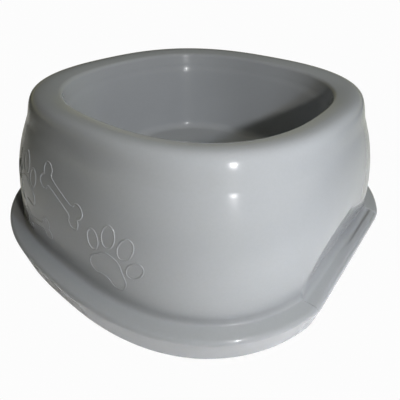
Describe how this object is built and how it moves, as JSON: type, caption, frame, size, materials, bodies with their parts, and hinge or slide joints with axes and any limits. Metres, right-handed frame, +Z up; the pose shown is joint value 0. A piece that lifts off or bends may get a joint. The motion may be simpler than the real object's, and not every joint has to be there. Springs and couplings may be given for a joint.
{
  "type": "square pet bowl",
  "caption": "Square double-wall feeding bowl with a rounded rim, a flared base ledge with a hand grip recess on two sides, and push-in rubber feet.",
  "frame": {"origin": "centre of the footprint, at the undersides of the rubber feet on the floor", "axes": "+Z up out of the bowl's mouth; the grip recesses are on the -X and +X sides; the plain sides face -Y (front) and +Y (back)"},
  "size_m": [0.202, 0.2114, 0.0824],
  "materials": {
    "body_plastic": "light grey, glossy, moulded",
    "foot_rubber": "dark grey, matt"
  },
  "bodies": {
    "root": {"bowl_body": "body_plastic", "foot_front_left": "foot_rubber", "foot_front_right": "foot_rubber", "foot_back_left": "foot_rubber", "foot_back_right": "foot_rubber"}
  },
  "joints": []
}
